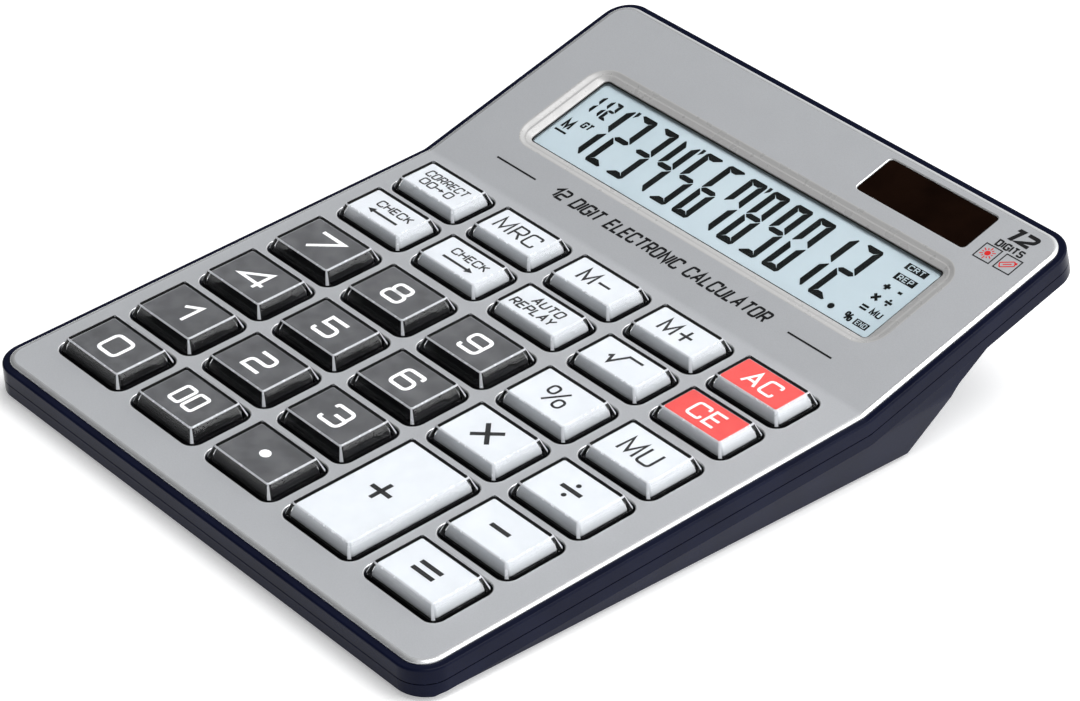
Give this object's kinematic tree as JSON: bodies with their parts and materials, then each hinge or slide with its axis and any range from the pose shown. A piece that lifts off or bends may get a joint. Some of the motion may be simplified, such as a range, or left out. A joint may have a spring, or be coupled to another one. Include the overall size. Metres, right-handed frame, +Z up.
{
  "type": "desktop calculator",
  "caption": "Wedge-shaped desktop calculator with a bent silver faceplate, tilted display, solar window and clear-capped sprung keys.",
  "frame": {"origin": "middle of the footprint, on the surface that the rubber feet stand on", "axes": "+X to the right as the user reads the keys, +Y from the user towards the display, +Z up"},
  "size_m": [0.15, 0.1898, 0.0382],
  "materials": {
    "key_dark": "gloss, charcoal core",
    "key_white": "gloss, cool white core",
    "key_red": "gloss, red top on a white core",
    "clear_acrylic": "clear, polished",
    "silver_plate": "fine satin with a bright rounded edge",
    "dark_case": "semi-gloss blue-black with a fine moulded grain",
    "lcd_glass": "pale grey-blue, satin polariser",
    "lcd_ink": "dark liquid-crystal segments",
    "legend_black": "printed",
    "legend_white": "printed",
    "legend_red": "printed",
    "reflector_film": "pearl film",
    "white_frame": "moulded",
    "ribbon_film": "amber film",
    "dark_window": "tinted, polished",
    "solar_glass": "brown-black glass with fine lines",
    "wire_sleeve": "soft sleeve",
    "silicone": "matte",
    "board_green": "solder mask",
    "resin_black": "smooth resin",
    "component_body": "moulded",
    "cell_jacket": "satin sleeve",
    "contact_metal": "nickel plated",
    "foot_rubber": "matte",
    "screw_dark": "blackened",
    "screw_zinc": "zinc plated"
  },
  "bodies": {
    "case": {"faceplate": "silver_plate", "top_case": "dark_case", "bottom_case": "dark_case", "display_window": "clear_acrylic", "lcd_cell": "lcd_glass", "lcd_reflector": "reflector_film", "lcd_holder": "white_frame", "lcd_ribbon": "ribbon_film", "solar_window": "dark_window", "solar_cell": "solar_glass", "solar_leads": "wire_sleeve", "dome_mat": "silicone", "main_board": "board_green", "chip_blob": "resin_black", "board_components": "component_body", "battery_cell": "cell_jacket", "battery_spring": "contact_metal", "battery_plate": "contact_metal", "battery_leads": "wire_sleeve", "rubber_feet": "foot_rubber", "case_screws": "screw_dark", "board_screws": "screw_zinc"},
    "battery_door": {"battery_door": "dark_case"},
    "key_0": {"key_0": "key_dark"},
    "key_00": {"key_00": "key_dark"},
    "key_point": {"key_point": "key_dark"},
    "key_plus": {"key_plus": "key_white"},
    "key_equals": {"key_equals": "key_white"},
    "key_1": {"key_1": "key_dark"},
    "key_2": {"key_2": "key_dark"},
    "key_3": {"key_3": "key_dark"},
    "key_minus": {"key_minus": "key_white"},
    "key_4": {"key_4": "key_dark"},
    "key_5": {"key_5": "key_dark"},
    "key_6": {"key_6": "key_dark"},
    "key_multiply": {"key_multiply": "key_white"},
    "key_divide": {"key_divide": "key_white"},
    "key_7": {"key_7": "key_dark"},
    "key_8": {"key_8": "key_dark"},
    "key_9": {"key_9": "key_dark"},
    "key_percent": {"key_percent": "key_white"},
    "key_markup": {"key_markup": "key_white"},
    "key_check_back": {"key_check_back": "key_white"},
    "key_check_forward": {"key_check_forward": "key_white"},
    "key_auto_replay": {"key_auto_replay": "key_white"},
    "key_square_root": {"key_square_root": "key_white"},
    "key_clear_entry": {"key_clear_entry": "key_red"},
    "key_correct": {"key_correct": "key_white"},
    "key_memory_recall": {"key_memory_recall": "key_white"},
    "key_memory_minus": {"key_memory_minus": "key_white"},
    "key_memory_plus": {"key_memory_plus": "key_white"},
    "key_all_clear": {"key_all_clear": "key_red"}
  },
  "joints": [
    {"name": "key_0_press", "type": "slide", "parent": "case", "child": "key_0", "axis": [0, 0.0785, -0.9969], "range_m": [0, 0.0013], "stiffness_N_per_m": 400, "springref_m": -0.0005, "deforming": ["dome_mat"]},
    {"name": "key_00_press", "type": "slide", "parent": "case", "child": "key_00", "axis": [0, 0.0785, -0.9969], "range_m": [0, 0.0013], "stiffness_N_per_m": 400, "springref_m": -0.0005, "deforming": ["dome_mat"]},
    {"name": "key_point_press", "type": "slide", "parent": "case", "child": "key_point", "axis": [0, 0.0785, -0.9969], "range_m": [0, 0.0013], "stiffness_N_per_m": 400, "springref_m": -0.0005, "deforming": ["dome_mat"]},
    {"name": "key_plus_press", "type": "slide", "parent": "case", "child": "key_plus", "axis": [0, 0.0785, -0.9969], "range_m": [0, 0.0013], "stiffness_N_per_m": 400, "springref_m": -0.0005, "deforming": ["dome_mat"]},
    {"name": "key_equals_press", "type": "slide", "parent": "case", "child": "key_equals", "axis": [0, 0.0785, -0.9969], "range_m": [0, 0.0013], "stiffness_N_per_m": 400, "springref_m": -0.0005, "deforming": ["dome_mat"]},
    {"name": "key_1_press", "type": "slide", "parent": "case", "child": "key_1", "axis": [0, 0.0785, -0.9969], "range_m": [0, 0.0013], "stiffness_N_per_m": 400, "springref_m": -0.0005, "deforming": ["dome_mat"]},
    {"name": "key_2_press", "type": "slide", "parent": "case", "child": "key_2", "axis": [0, 0.0785, -0.9969], "range_m": [0, 0.0013], "stiffness_N_per_m": 400, "springref_m": -0.0005, "deforming": ["dome_mat"]},
    {"name": "key_3_press", "type": "slide", "parent": "case", "child": "key_3", "axis": [0, 0.0785, -0.9969], "range_m": [0, 0.0013], "stiffness_N_per_m": 400, "springref_m": -0.0005, "deforming": ["dome_mat"]},
    {"name": "key_minus_press", "type": "slide", "parent": "case", "child": "key_minus", "axis": [0, 0.0785, -0.9969], "range_m": [0, 0.0013], "stiffness_N_per_m": 400, "springref_m": -0.0005, "deforming": ["dome_mat"]},
    {"name": "key_4_press", "type": "slide", "parent": "case", "child": "key_4", "axis": [0, 0.0785, -0.9969], "range_m": [0, 0.0013], "stiffness_N_per_m": 400, "springref_m": -0.0005, "deforming": ["dome_mat"]},
    {"name": "key_5_press", "type": "slide", "parent": "case", "child": "key_5", "axis": [0, 0.0785, -0.9969], "range_m": [0, 0.0013], "stiffness_N_per_m": 400, "springref_m": -0.0005, "deforming": ["dome_mat"]},
    {"name": "key_6_press", "type": "slide", "parent": "case", "child": "key_6", "axis": [0, 0.0785, -0.9969], "range_m": [0, 0.0013], "stiffness_N_per_m": 400, "springref_m": -0.0005, "deforming": ["dome_mat"]},
    {"name": "key_multiply_press", "type": "slide", "parent": "case", "child": "key_multiply", "axis": [0, 0.0785, -0.9969], "range_m": [0, 0.0013], "stiffness_N_per_m": 400, "springref_m": -0.0005, "deforming": ["dome_mat"]},
    {"name": "key_divide_press", "type": "slide", "parent": "case", "child": "key_divide", "axis": [0, 0.0785, -0.9969], "range_m": [0, 0.0013], "stiffness_N_per_m": 400, "springref_m": -0.0005, "deforming": ["dome_mat"]},
    {"name": "key_7_press", "type": "slide", "parent": "case", "child": "key_7", "axis": [0, 0.0785, -0.9969], "range_m": [0, 0.0013], "stiffness_N_per_m": 400, "springref_m": -0.0005, "deforming": ["dome_mat"]},
    {"name": "key_8_press", "type": "slide", "parent": "case", "child": "key_8", "axis": [0, 0.0785, -0.9969], "range_m": [0, 0.0013], "stiffness_N_per_m": 400, "springref_m": -0.0005, "deforming": ["dome_mat"]},
    {"name": "key_9_press", "type": "slide", "parent": "case", "child": "key_9", "axis": [0, 0.0785, -0.9969], "range_m": [0, 0.0013], "stiffness_N_per_m": 400, "springref_m": -0.0005, "deforming": ["dome_mat"]},
    {"name": "key_percent_press", "type": "slide", "parent": "case", "child": "key_percent", "axis": [0, 0.0785, -0.9969], "range_m": [0, 0.0013], "stiffness_N_per_m": 400, "springref_m": -0.0005, "deforming": ["dome_mat"]},
    {"name": "key_markup_press", "type": "slide", "parent": "case", "child": "key_markup", "axis": [0, 0.0785, -0.9969], "range_m": [0, 0.0013], "stiffness_N_per_m": 400, "springref_m": -0.0005, "deforming": ["dome_mat"]},
    {"name": "key_check_back_press", "type": "slide", "parent": "case", "child": "key_check_back", "axis": [0, 0.0785, -0.9969], "range_m": [0, 0.0013], "stiffness_N_per_m": 400, "springref_m": -0.0005, "deforming": ["dome_mat"]},
    {"name": "key_check_forward_press", "type": "slide", "parent": "case", "child": "key_check_forward", "axis": [0, 0.0785, -0.9969], "range_m": [0, 0.0013], "stiffness_N_per_m": 400, "springref_m": -0.0005, "deforming": ["dome_mat"]},
    {"name": "key_auto_replay_press", "type": "slide", "parent": "case", "child": "key_auto_replay", "axis": [0, 0.0785, -0.9969], "range_m": [0, 0.0013], "stiffness_N_per_m": 400, "springref_m": -0.0005, "deforming": ["dome_mat"]},
    {"name": "key_square_root_press", "type": "slide", "parent": "case", "child": "key_square_root", "axis": [0, 0.0785, -0.9969], "range_m": [0, 0.0013], "stiffness_N_per_m": 400, "springref_m": -0.0005, "deforming": ["dome_mat"]},
    {"name": "key_clear_entry_press", "type": "slide", "parent": "case", "child": "key_clear_entry", "axis": [0, 0.0785, -0.9969], "range_m": [0, 0.0013], "stiffness_N_per_m": 400, "springref_m": -0.0005, "deforming": ["dome_mat"]},
    {"name": "key_correct_press", "type": "slide", "parent": "case", "child": "key_correct", "axis": [0, 0.0785, -0.9969], "range_m": [0, 0.0013], "stiffness_N_per_m": 400, "springref_m": -0.0005, "deforming": ["dome_mat"]},
    {"name": "key_memory_recall_press", "type": "slide", "parent": "case", "child": "key_memory_recall", "axis": [0, 0.0785, -0.9969], "range_m": [0, 0.0013], "stiffness_N_per_m": 400, "springref_m": -0.0005, "deforming": ["dome_mat"]},
    {"name": "key_memory_minus_press", "type": "slide", "parent": "case", "child": "key_memory_minus", "axis": [0, 0.0785, -0.9969], "range_m": [0, 0.0013], "stiffness_N_per_m": 400, "springref_m": -0.0005, "deforming": ["dome_mat"]},
    {"name": "key_memory_plus_press", "type": "slide", "parent": "case", "child": "key_memory_plus", "axis": [0, 0.0785, -0.9969], "range_m": [0, 0.0013], "stiffness_N_per_m": 400, "springref_m": -0.0005, "deforming": ["dome_mat"]},
    {"name": "key_all_clear_press", "type": "slide", "parent": "case", "child": "key_all_clear", "axis": [0, 0.0785, -0.9969], "range_m": [0, 0.0013], "stiffness_N_per_m": 400, "springref_m": -0.0005, "deforming": ["dome_mat"]},
    {"name": "battery_door_slide", "type": "slide", "parent": "case", "child": "battery_door", "axis": [0, 1, 0], "range_m": [0, 0.014]}
  ]
}
